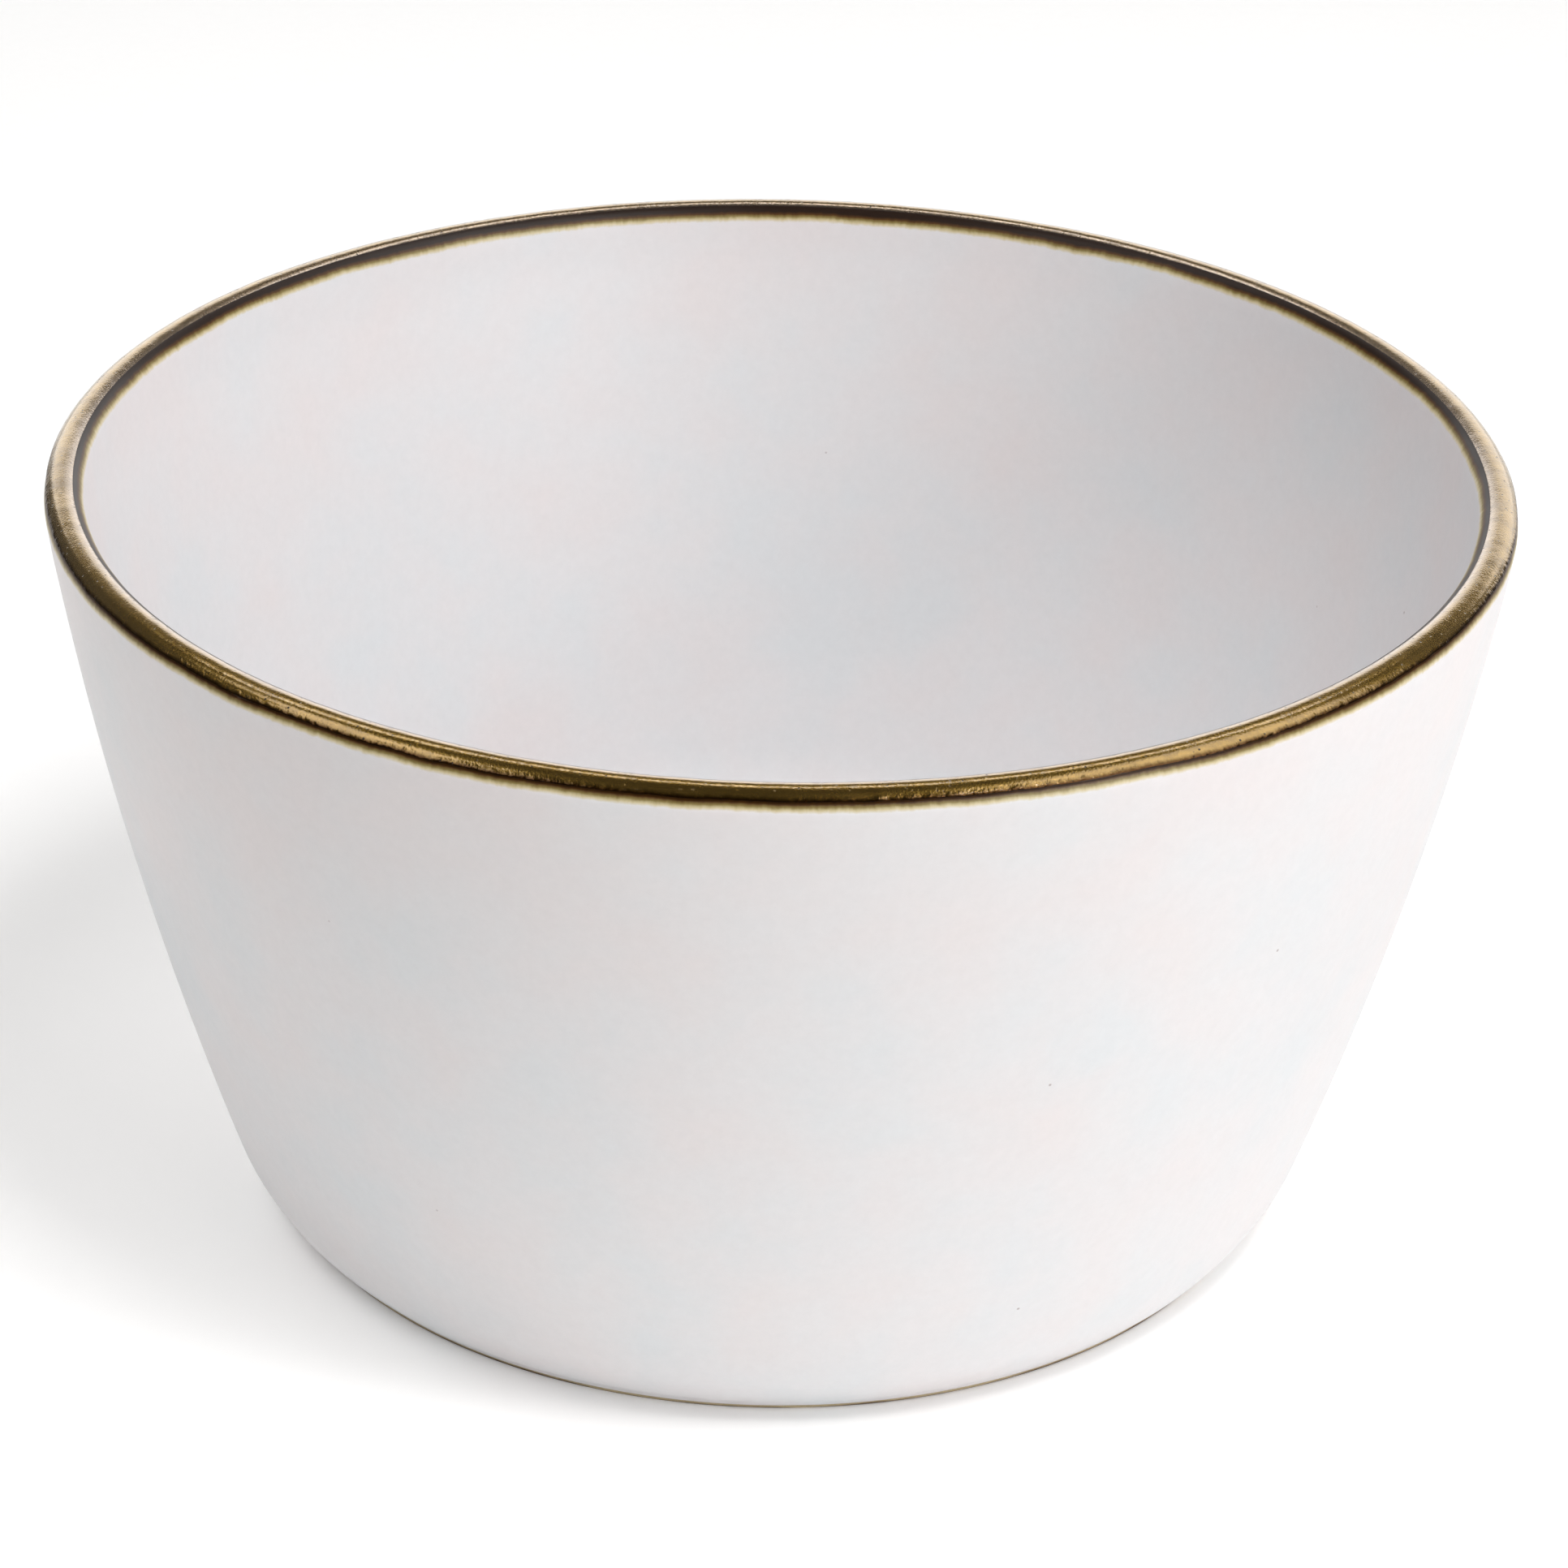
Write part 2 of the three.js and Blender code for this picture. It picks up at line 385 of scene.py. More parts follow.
def finish_tree(tree, given, grid, place, shape):
    """Turns the grid into a closed, smooth coat with the soft waves of fired glaze.

    The waves only sink, so that the coat stays inside its sizes. The short ones are on the lip.
    """
    placed = add_node(tree, "GeometryNodeSetPosition", {"Geometry": grid, "Position": place})
    closed = add_node(tree, "GeometryNodeMergeByDistance", {"Geometry": placed, "Distance": WELD})
    position = add_node(tree, "GeometryNodeInputPosition")
    broad, bead, fine = (
        add_node(
            tree, "ShaderNodeTexNoise",
            {"Vector": position, "W": given["Seed"], "Scale": 1 / length, "Detail": 2.0,
             "Roughness": 0.5},
            noise_dimensions="4D")
        for length in WAVES)
    height = add_node(tree, "ShaderNodeSeparateXYZ", {0: position}).outputs["Z"]
    top = lip_centre(shape)[1]
    on_lip = add_node(
        tree, "ShaderNodeMapRange", {"Value": height, "From Min": top - LIP_ZONE, "From Max": top},
        interpolation_type="SMOOTHSTEP")
    short = add_node(
        tree, "ShaderNodeMath", {0: fine, 1: FINE_WAVE_SHARE, 2: bead}, operation="MULTIPLY_ADD")
    short = add_node(tree, "ShaderNodeMath", {0: short, 1: on_lip}, operation="MULTIPLY")
    short = add_node(
        tree, "ShaderNodeMath", {0: short, 1: given["Bead ripple"]}, operation="MULTIPLY")
    total = add_node(
        tree, "ShaderNodeMath", {0: broad, 1: given["Ripple"], 2: short}, operation="MULTIPLY_ADD")
    # The grid is wound with its back outwards, so its normals point into the coat.
    into_coat = add_node(tree, "GeometryNodeInputNormal")
    dent = add_node(
        tree, "ShaderNodeVectorMath", {0: into_coat, "Scale": total}, operation="SCALE")
    dented = add_node(tree, "GeometryNodeSetPosition", {"Geometry": closed, "Offset": dent})
    smooth = add_node(tree, "GeometryNodeSetShadeSmooth", {"Geometry": dented})
    bend = add_node(tree, "GeometryNodeInputMeshEdgeAngle").outputs["Unsigned Angle"]
    crisp = add_node(
        tree, "FunctionNodeCompare", {0: bend, 1: CRISP_ANGLE}, data_type="FLOAT",
        operation="GREATER_THAN")
    edged = add_node(
        tree, "GeometryNodeSetShadeSmooth",
        {"Geometry": smooth, "Selection": crisp, "Shade Smooth": False}, domain="EDGE")
    real = add_node(tree, "GeometryNodeRealizeInstances", {"Geometry": edged})
    painted = add_node(
        tree, "GeometryNodeSetMaterial", {"Geometry": real, "Material": given["Material"]})
    add_node(tree, "NodeGroupOutput", {0: painted})
    return tree


def turned_tree(shape):
    """Shape tree that turns a section of radius (X) and height (Z) about the bowl's axis."""
    tree, given = new_shape_tree("Turned coat", ("Ripple", "Bead ripple"))
    grid, point, turn = turn_grid(tree, given)
    place = add_node(
        tree, "ShaderNodeVectorRotate", {"Vector": point, "Angle": turn}, rotation_type="Z_AXIS")
    return finish_tree(tree, given, grid, place, shape)


def rim_tree(shape, glaze):
    """Shape tree that lays a coat along the lip.

    Its section holds each point's distance from the crest along the lip (X) and depth under the
    finished glaze (Z). The coat's two edges wander, each in its own way.
    """
    tree, given = new_shape_tree("Rim coat", ("Ripple", "Bead ripple", "Spread"))
    grid, point, turn = turn_grid(tree, given)
    split = add_node(tree, "ShaderNodeSeparateXYZ", {0: point})
    across, depth = split.outputs["X"], split.outputs["Z"]
    heading = add_node(
        tree, "ShaderNodeVectorRotate", {"Vector": (1, 0, 0), "Angle": turn},
        rotation_type="Z_AXIS")
    side = add_node(tree, "ShaderNodeMath", {0: across}, operation="SIGN")
    drift = edge_drift(tree, heading, side, glaze)
    share = add_node(tree, "ShaderNodeMath", {0: drift, 1: given["Spread"]}, operation="DIVIDE")
    spread = add_node(
        tree, "ShaderNodeMath", {0: share, 1: across, 2: across}, operation="MULTIPLY_ADD")
    centre = lip_centre(shape)
    swing = add_node(tree, "ShaderNodeMath", {0: spread, 1: shape.wall / 2}, operation="DIVIDE")
    arm = add_node(tree, "ShaderNodeMath", {0: shape.wall / 2, 1: depth}, operation="SUBTRACT")
    radius, height = (
        add_node(
            tree, "ShaderNodeMath",
            {0: add_node(tree, "ShaderNodeMath", {0: swing}, operation=wave), 1: arm, 2: middle},
            operation="MULTIPLY_ADD")
        for wave, middle in (("SINE", centre[0]), ("COSINE", centre[1])))
    drawn = add_node(tree, "ShaderNodeCombineXYZ", {"X": radius, "Z": height})
    place = add_node(
        tree, "ShaderNodeVectorRotate", {"Vector": drawn, "Angle": turn}, rotation_type="Z_AXIS")
    return finish_tree(tree, given, grid, place, shape)


def section_object(name, points):
    """An object that holds a section as a line of points in the XZ plane."""
    mesh = bpy.data.meshes.new(name)
    edges = [(i, i + 1) for i in range(len(points) - 1)]
    mesh.from_pydata([(x, 0, z) for x, z in points], edges, [])
    piece = bpy.data.objects.new(name, mesh)
    bpy.context.collection.objects.link(piece)
    return piece


def shaped(name, points, tree, material, **values):
    """Runs a shape tree on a section and keeps the result as a plain closed mesh."""
    piece = section_object(name, points)
    modifier = piece.modifiers.new("Shape", "NODES")
    modifier.node_group = tree
    labels = {key.replace("_", " ").capitalize(): value for key, value in values.items()}
    labels["Material"] = material
    for socket in tree.interface.items_tree:
        if socket.in_out == "INPUT" and socket.name in labels:
            modifier[socket.identifier] = labels[socket.name]
    evaluated = piece.evaluated_get(bpy.context.evaluated_depsgraph_get())
    mesh = bpy.data.meshes.new_from_object(evaluated)
    piece.modifiers.remove(modifier)
    piece.data = mesh
    mesh.name = name
    work = bmesh.new()
    work.from_mesh(mesh)
    open_edges = [edge for edge in work.edges if not edge.is_manifold]
    if open_edges or not work.faces:
        raise RuntimeError(f"{name} isn't a closed mesh: {len(open_edges)} open edges")
    bmesh.ops.recalc_face_normals(work, faces=work.faces)
    work.to_mesh(mesh)
    work.free()
    return piece


def belongs(piece, node):
    """The piece rides on the bowl's one body, and stands for a CAD node with that finish."""
    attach(piece, BODY)
    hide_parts(node)


# --- Materials ------------------------------------------------------------------------------------


def new_material(name):
    material = bpy.data.materials.new(name)
    material.use_nodes = True
    material.node_tree.nodes.clear()
    return material, material.node_tree


def surface_place(tree):
    return add_node(tree, "ShaderNodeTexCoord").outputs["Object"]


def lip_place(tree, position, shape):
    """Where a point lies on the lip: distance from the crest, side, and heading round the bowl."""
    centre = lip_centre(shape)
    flat = add_node(
        tree, "ShaderNodeVectorMath", {0: position, 1: (1, 1, 0)}, operation="MULTIPLY")
    radius = add_node(tree, "ShaderNodeVectorMath", {0: flat}, operation="LENGTH")
    heading = add_node(tree, "ShaderNodeVectorMath", {0: flat}, operation="NORMALIZE")
    height = add_node(tree, "ShaderNodeSeparateXYZ", {0: position}).outputs["Z"]
    across = add_node(tree, "ShaderNodeMath", {0: radius, 1: centre[0]}, operation="SUBTRACT")
    up = add_node(tree, "ShaderNodeMath", {0: height, 1: centre[1]}, operation="SUBTRACT")
    swing = add_node(tree, "ShaderNodeMath", {0: across, 1: up}, operation="ARCTAN2")
    side = add_node(tree, "ShaderNodeMath", {0: swing}, operation="SIGN")
    size = add_node(tree, "ShaderNodeMath", {0: swing}, operation="ABSOLUTE")
    distance = add_node(tree, "ShaderNodeMath", {0: size, 1: shape.wall / 2}, operation="MULTIPLY")
    return distance, side, heading


# Width and length of the streaks at a coat's edge, drawn as coarse as they need to show.
STREAK_WIDTH = 0.7 * MM
STREAK_LENGTH = 1.2 * MM


def past_edge(tree, place, spread, glaze):
    """Distance beyond a coat's wandering edge, broken up by the short streaks of run glaze."""
    distance, side, heading = place
    drift = edge_drift(tree, heading, side, glaze)
    streaks = RIM_RADIUS / STREAK_WIDTH
    bend = add_node(
        tree, "ShaderNodeMath", {0: distance, 1: 1 / STREAK_LENGTH, 2: side},
        operation="MULTIPLY_ADD")
    apart = add_node(tree, "ShaderNodeCombineXYZ", {"Z": bend})
    lines = add_node(
        tree, "ShaderNodeVectorMath", {0: heading, 1: (streaks,) * 3, 2: apart},
        operation="MULTIPLY_ADD")
    streak = add_node(
        tree, "ShaderNodeTexNoise",
        {"Vector": lines, "Scale": 1.0, "Detail": 3.0, "Roughness": 0.6})
    swing = glaze.feather / NOISE_SWING
    edge = add_node(
        tree, "ShaderNodeMath", {0: streak, 1: swing, 2: spread - NOISE_MIDDLE * swing},
        operation="MULTIPLY_ADD")
    edge = add_node(tree, "ShaderNodeMath", {0: edge, 1: drift}, operation="ADD")
    return add_node(tree, "ShaderNodeMath", {0: distance, 1: edge}, operation="SUBTRACT")


# Patterns of the white glaze, and the heights between which it changes.
CLOUD_SIZE = 15 * MM
WHITE_GRAIN_SIZE = 1.3 * MM
PINHOLE_SPACING = 10 * MM
PEEL_SIZE = 3.5 * MM
PEEL_DEPTH = 0.03 * MM
WARMING = {"From Min": 50 * MM, "From Max": 82 * MM}    # warmer towards the lip
PAINTED_FOOT_LIGHT = {"From Min": 1.0 * MM, "From Max": 2.2 * MM}    # painted light: lighter low on the foot, whose side lies in shade
STAIN_SHOWS = -0.3 * MM    # where the fade of the stain begins, from the stain's edge


def white_glaze_material(shape, glaze):
    """Satin tin-white glaze: a broad soft sheen over a milky ground that shifts from warm to cool.

    Rare pinholes show as pin-sized dark specks, and beside the lip the iron stain shows through as
    brown, olive and tan before the white covers it. Low on the foot the colour is lightened, as
    painted light on the foot's shaded side.
    """
    material, tree = new_material("White glaze satin")
    position = surface_place(tree)
    clouds = add_node(
        tree, "ShaderNodeTexNoise",
        {"Vector": position, "Scale": 1 / CLOUD_SIZE, "Detail": 3.0, "Roughness": 0.55})
    height = add_node(tree, "ShaderNodeSeparateXYZ", {0: position}).outputs["Z"]
    near_rim = add_node(tree, "ShaderNodeMapRange", {"Value": height, **WARMING})
    warmth = add_node(
        tree, "ShaderNodeMath", {0: near_rim, 1: -0.12, 2: clouds}, operation="MULTIPLY_ADD")
    ground = add_node(tree, "ShaderNodeValToRGB", {0: warmth})
    set_stops(ground, ((0.25, glaze.blush), (0.5, glaze.white), (0.7, glaze.cool)))
    grain = add_node(
        tree, "ShaderNodeTexNoise",
        {"Vector": position, "Scale": 1 / WHITE_GRAIN_SIZE, "Detail": 4.0, "Roughness": 0.7})
    grain_and_foot_light = add_node(
        tree, "ShaderNodeMapRange",
        {"Value": grain, **NOISE_RANGE, "To Min": 0.965, "To Max": 1.0})
    # Painted light: the glaze low on the foot is made lighter, where its side lies in shade under
    # the heel.
    painted_foot_light = add_node(
        tree, "ShaderNodeMapRange", {"Value": height, **PAINTED_FOOT_LIGHT, "To Min": 1.12, "To Max": 1.0})
    grain_and_foot_light = add_node(tree, "ShaderNodeMath", {0: grain_and_foot_light, 1: painted_foot_light}, operation="MULTIPLY")
    ground = add_node(tree, "ShaderNodeVectorMath", {0: ground, "Scale": grain_and_foot_light}, operation="SCALE")
    cells = add_node(
        tree, "ShaderNodeTexVoronoi", {"Vector": position, "Scale": 1 / PINHOLE_SPACING})
    hole = add_node(
        tree, "ShaderNodeMapRange",
        {"Value": cells, "From Min": 0.01, "From Max": 0.022, "To Min": 0.6, "To Max": 0.0})
    ground = add_node(
        tree, "ShaderNodeMix", {"Factor": hole, "A": ground, "B": glaze.pinhole}, data_type="RGBA")
    beyond = past_edge(tree, lip_place(tree, position, shape), glaze.stain_spread, glaze)
    reach = add_node(
        tree, "ShaderNodeMapRange",
        {"Value": beyond, "From Min": STAIN_SHOWS, "From Max": glaze.bleed})
    bleed = add_node(tree, "ShaderNodeValToRGB", {0: reach})
    set_stops(bleed, (
        (0.0, glaze.stain, 1.0), (0.25, glaze.brown, 1.0), (0.5, glaze.olive, 0.95),
        (0.76, glaze.tan, 0.72), (1.0, glaze.tan, 0.0)))
    painted = add_node(
        tree, "ShaderNodeMix",
        {"Factor": bleed.outputs["Alpha"], "A": ground, "B": bleed.outputs["Color"]},
        data_type="RGBA")
    sheen = add_node(
        tree, "ShaderNodeMapRange",
        {"Value": clouds, **NOISE_RANGE, "To Min": 0.36, "To Max": 0.44})
    peel = add_node(
        tree, "ShaderNodeTexNoise", {"Vector": position, "Scale": 1 / PEEL_SIZE, "Detail": 2.0})
    bump = add_node(
        tree, "ShaderNodeBump", {"Strength": 0.5, "Distance": PEEL_DEPTH, "Height": peel})
    finish_material(tree, {"Base Color": painted, "Roughness": sheen, "IOR": 1.5, "Normal": bump})
    return material


def set_stops(ramp, stops):
    """Gives a colour ramp its stops: place, colour and, where it isn't opaque, cover."""
    elements = ramp.color_ramp.elements
    while len(elements) < len(stops):
        elements.new(1.0)
    for element, (place, colour, *cover) in zip(elements, stops):
        element.position = place
        element.color = (*colour, *(cover or (1.0,)))


def finish_material(tree, inputs):
    shader = add_node(tree, "ShaderNodeBsdfPrincipled", inputs)
    add_node(tree, "ShaderNodeOutputMaterial", {"Surface": shader})


STAIN_MOTTLE_SIZE = 1.2 * MM
STAIN_MOTTLE_DEPTH = 0.05 * MM
STAIN_THINS = {"From Min": -0.3 * MM, "From Max": 0.1 * MM}    # across the stain's edge


def rim_stain_material(shape, glaze):
    """Iron-brown stain fired to a soft gloss: nearly black, its low shine broken by mottling."""
    material, tree = new_material("Iron stain glossy")
    position = surface_place(tree)
    beyond = past_edge(tree, lip_place(tree, position, shape), glaze.stain_spread, glaze)
    mottle = add_node(
        tree, "ShaderNodeTexNoise",
        {"Vector": position, "Scale": 1 / STAIN_MOTTLE_SIZE, "Detail": 4.0, "Roughness": 0.6})
    patch = add_node(
        tree, "ShaderNodeMapRange", {"Value": mottle, "From Min": 0.45, "From Max": 0.9})
    thin = add_node(tree, "ShaderNodeMapRange", {"Value": beyond, **STAIN_THINS})
    brown = add_node(tree, "ShaderNodeMath", {0: patch, 1: thin}, operation="MAXIMUM")
    colour = add_node(
        tree, "ShaderNodeMix", {"Factor": brown, "A": glaze.stain, "B": glaze.brown},
        data_type="RGBA")
    bump = add_node(
        tree, "ShaderNodeBump",
        {"Strength": 0.6, "Distance": STAIN_MOTTLE_DEPTH, "Height": mottle})
    finish_material(tree, {"Base Color": colour, "Roughness": 0.3, "IOR": 1.3, "Normal": bump})
    return material


# Patterns of the bronze glaze, and distances from its edge or from the crest.
BRONZE_MOTTLE_SIZE = 2.5 * MM
GRIT_SIZE = 0.25 * MM
LUMP_SIZE = 0.9 * MM
PIT_SPACING = 0.6 * MM
PITTED_SHARE = 0.22    # share of the places where a pit can be that hold one
RELIEF_DEPTH = 0.12 * MM
BRONZE_THINS = {"From Min": -0.7 * MM, "From Max": -0.1 * MM}
# How far in from the crest the painted reflection reaches.
PAINTED_REFLECTION_REACH = {"From Min": 0.0, "From Max": -0.9 * MM}    # from the crest inwards


def bronze_material(shape, glaze):
    """Bronze-gold metallic glaze, fired glossy: gold where thick, brown and dull at its edges.

    Its inner side is tinted silvery, a painted reflection of the bright panels, and it has fine dark
    pits where the metal drew back.
    """
    material, tree = new_material("Bronze glaze fired")
    position = surface_place(tree)
    place = lip_place(tree, position, shape)
    beyond = past_edge(tree, place, glaze.bronze_spread, glaze)
    mottle = add_node(
        tree, "ShaderNodeTexNoise",
        {"Vector": position, "Scale": 1 / BRONZE_MOTTLE_SIZE, "Detail": 6.0, "Roughness": 0.7})
    grit = add_node(
        tree, "ShaderNodeTexNoise", {"Vector": position, "Scale": 1 / GRIT_SIZE, "Detail": 2.0})
    lumps = add_node(
        tree, "ShaderNodeTexNoise", {"Vector": position, "Scale": 1 / LUMP_SIZE, "Detail": 1.0})
    thin = add_node(
        tree, "ShaderNodeMapRange", {"Value": beyond, **BRONZE_THINS},
        interpolation_type="SMOOTHSTEP")
    patch = add_node(
        tree, "ShaderNodeMapRange",
        {"Value": mottle, "From Min": 0.45, "From Max": 0.75, "To Max": 0.4})
    brown = add_node(tree, "ShaderNodeMath", {0: thin, 1: patch}, operation="MAXIMUM")
    pits = add_node(
        tree, "ShaderNodeTexVoronoi", {"Vector": position, "Scale": 1 / PIT_SPACING})
    pit = add_node(
        tree, "ShaderNodeMapRange",
        {"Value": pits, "From Min": 0.1, "From Max": 0.22, "To Min": 1.0, "To Max": 0.0})
    chance = add_node(tree, "ShaderNodeSeparateXYZ", {0: pits.outputs["Color"]}).outputs["X"]
    kept = add_node(
        tree, "ShaderNodeMath", {0: chance, 1: 1 - PITTED_SHARE}, operation="GREATER_THAN")
    pit = add_node(tree, "ShaderNodeMath", {0: pit, 1: kept}, operation="MULTIPLY")
    # Painted reflection: the inner side of the bronze is tinted silvery, for the bright panels it
    # mirrors.
    across = add_node(tree, "ShaderNodeMath", {0: place[0], 1: place[1]}, operation="MULTIPLY")
    painted_reflection = add_node(
        tree, "ShaderNodeMapRange",
        {"Value": across, **PAINTED_REFLECTION_REACH, "To Min": 0.0, "To Max": 0.45})
    colour = add_node(
        tree, "ShaderNodeMix", {"Factor": painted_reflection, "A": glaze.bronze, "B": glaze.painted_silver_reflection},
        data_type="RGBA")
    colour = add_node(
        tree, "ShaderNodeMix", {"Factor": brown, "A": colour, "B": glaze.brown}, data_type="RGBA")
    colour = add_node(
        tree, "ShaderNodeMix", {"Factor": pit, "A": colour, "B": glaze.stain}, data_type="RGBA")
    metal = add_node(tree, "ShaderNodeMapRange", {"Value": pit, "To Min": 0.95, "To Max": 0.6})
    rough = add_node(
        tree, "ShaderNodeMapRange",
        {"Value": mottle, **NOISE_RANGE, "To Min": 0.2, "To Max": 0.3})
    edge_lumps = add_node(tree, "ShaderNodeMath", {0: lumps, 1: thin}, operation="MULTIPLY")
    grain = add_node(
        tree, "ShaderNodeMath", {0: grit, 1: 0.16, 2: edge_lumps}, operation="MULTIPLY_ADD")
    relief = add_node(tree, "ShaderNodeMath", {0: pit, 1: -0.2, 2: grain}, operation="MULTIPLY_ADD")
    bump = add_node(
        tree, "ShaderNodeBump", {"Strength": 1.0, "Distance": RELIEF_DEPTH, "Height": relief})
    gloss = add_node(tree, "ShaderNodeMapRange", {"Value": thin, "To Min": 0.9, "To Max": 0.1})
    finish_material(tree, {
        "Base Color": colour, "Metallic": metal, "Roughness": rough, "Coat Weight": gloss,
        "Coat Roughness": 0.06, "Coat IOR": 1.8, "Normal": bump, "Coat Normal": bump})
    return material


# Patterns of the bare clay, and the height under which it is toasted once they have broken it up.
CLAY_GRAIN_SIZE = 0.7 * MM
CLAY_PATCH_SIZE = 12 * MM
CLAY_GRAIN_DEPTH = 0.06 * MM
TOASTING = {"From Min": -0.3 * MM, "From Max": -0.1 * MM}


def clay_material(glaze):
    """Bare fired porcelain: matt and chalky, fine-grained, toasted brown along its lowest edge."""
    material, tree = new_material("Porcelain bare fired")
    position = surface_place(tree)
    grain = add_node(
        tree, "ShaderNodeTexNoise",
        {"Vector": position, "Scale": 1 / CLAY_GRAIN_SIZE, "Detail": 5.0, "Roughness": 0.7})
    patches = add_node(
        tree, "ShaderNodeTexNoise", {"Vector": position, "Scale": 1 / CLAY_PATCH_SIZE})
    height = add_node(tree, "ShaderNodeSeparateXYZ", {0: position}).outputs["Z"]
    uneven = add_node(
        tree, "ShaderNodeMath", {0: patches, 1: -0.9 * MM, 2: height}, operation="MULTIPLY_ADD")
    uneven = add_node(
        tree, "ShaderNodeMath", {0: grain, 1: 0.2 * MM, 2: uneven}, operation="MULTIPLY_ADD")
    toasted = add_node(
        tree, "ShaderNodeMapRange", {"Value": uneven, **TOASTING, "To Min": 1.0, "To Max": 0.0})
    tone = add_node(tree, "ShaderNodeValToRGB", {0: grain})
    set_stops(tone, ((0.3, glaze.clay), (0.75, [0.75 * channel for channel in glaze.clay])))
    colour = add_node(
        tree, "ShaderNodeMix", {"Factor": toasted, "A": tone, "B": glaze.toast}, data_type="RGBA")
    rough = add_node(
        tree, "ShaderNodeMapRange",
        {"Value": grain, **NOISE_RANGE, "To Min": 0.65, "To Max": 0.85})
    bump = add_node(
        tree, "ShaderNodeBump", {"Strength": 0.7, "Distance": CLAY_GRAIN_DEPTH, "Height": grain})
    finish_material(tree, {"Base Color": colour, "Roughness": rough, "IOR": 1.5, "Normal": bump})
    return material


FLOOR_HALF = 3.0    # metres
FLOOR_FIBRE_SIZE = 2 * MM
PAINTED_GLOW_REACH = {"From Min": 62 * MM, "From Max": 160 * MM}    # from the bowl's axis


def floor_material(studio):
    """White matt acrylic table that glows a little all over, as if lit from below, and more round
    the bowl, a painted pool of light that keeps the shadows faint.
    """
    material, tree = new_material("Acrylic sheet matt")
    position = surface_place(tree)
    fibre = add_node(
        tree, "ShaderNodeTexNoise",
        {"Vector": position, "Scale": 1 / FLOOR_FIBRE_SIZE, "Detail": 3.0})
    away = add_node(tree, "ShaderNodeVectorMath", {0: position}, operation="LENGTH")
    # Painted light: the floor glows more near the bowl, a pool of light that washes out its shadow.
    glow = add_node(
        tree, "ShaderNodeMapRange",
        {"Value": away, **PAINTED_GLOW_REACH, "To Min": studio.painted_glow_near_bowl, "To Max": studio.table_glow},
        interpolation_type="SMOOTHSTEP")
    tone = add_node(tree, "ShaderNodeValToRGB", {0: fibre})
    set_stops(tone, ((0.3, studio.floor), (0.7, [0.99 * channel for channel in studio.floor])))
    finish_material(tree, {
        "Base Color": tone, "Roughness": 0.9, "Specular IOR Level": 0.1,
        "Emission Color": (1.0, 1.0, 1.0), "Emission Strength": glow})
    return material


# Studio panels: name, turn from +X and height above the horizon in degrees, distance, width and
# height in metres, and power in watts.
PANELS = (
    ("right softbox", -8, 52, 1.1, 0.9, 0.7, 2.9),
    ("left softbox", 188, 55, 1.1, 0.9, 0.25, 1.2),
    ("key panel", -48, 15, 1.2, 0.5, 0.4, 3.9),
    ("upper key panel", -35, 35, 1.2, 0.7, 0.6, 1.7),
    ("front lamp", -45, 59, 1.0, 0.1, 0.08, 0.35),
    ("backdrop", 84, 14, 1.6, 2.4, 0.8, 8.5),
    ("back strip", 90, 55, 1.2, 1.2, 0.12, 1.6),
)
# Panels that light the bowl but aren't mirrored in its glaze, as if through a diffuser.
FILL_PANELS = (
    ("top fill", -50, 68, 1.0, 0.3, 0.3, 5.0),
    ("left fill", 188, 61, 1.1, 0.9, 0.4, 4.3),
)


# --- Operators ------------------------------------------------------------------------------------


class BOWL_OT_clay(bpy.types.Operator):
    """Turn the clay bowl and its foot ring"""

    bl_idname = "bowl.clay"
    bl_label = "Turn Clay"

    def execute(self, context):
        shape, glaze = context.scene.bowl_shape, context.scene.bowl_glaze
        section = Section(shape)
        tree = turned_tree(shape)
        clay = clay_material(glaze)
        ceiling = RECESS_DEPTH + GLAZE
        recess = section.foot_inner - (ceiling - FOOT_TOP)
        outline = [
            *[Vector((i * recess / CEILING_STEPS, ceiling)) for i in range(CEILING_STEPS + 1)],
            Vector((section.foot_inner, FOOT_TOP)),
            *section.outside(GLAZE, STRAIGHT_UP, fine=0.5)[2 * FOOT_STEPS + 1:],
            *section.inside(GLAZE, STRAIGHT_UP, fine=0.5)[1:],
        ]
        body = shaped("clay_bowl", outline, tree, clay, rounds=shape.rounds)
        belongs(body, "porcelain_body")
        edge = FOOT_EDGE_RADIUS
        ring = [
            *[Vector((section.foot_inner, FOOT_TOP + (edge - FOOT_TOP) * i / RING_STEPS))
              for i in range(RING_STEPS)],
            *arc((section.foot_inner + edge, edge), edge, math.pi, 1.5 * math.pi, EDGE_STEPS),
            *arc((FOOT_CLAY_RADIUS - edge, edge), edge, -STRAIGHT_UP, 0, EDGE_STEPS),
            Vector((FOOT_CLAY_RADIUS, FOOT_TOP)),
            Vector((section.foot_inner, FOOT_TOP)),
        ]
        foot = shaped("foot", ring, tree, clay, rounds=2 * shape.rounds)
        belongs(foot, "foot_ring")
        return {"FINISHED"}


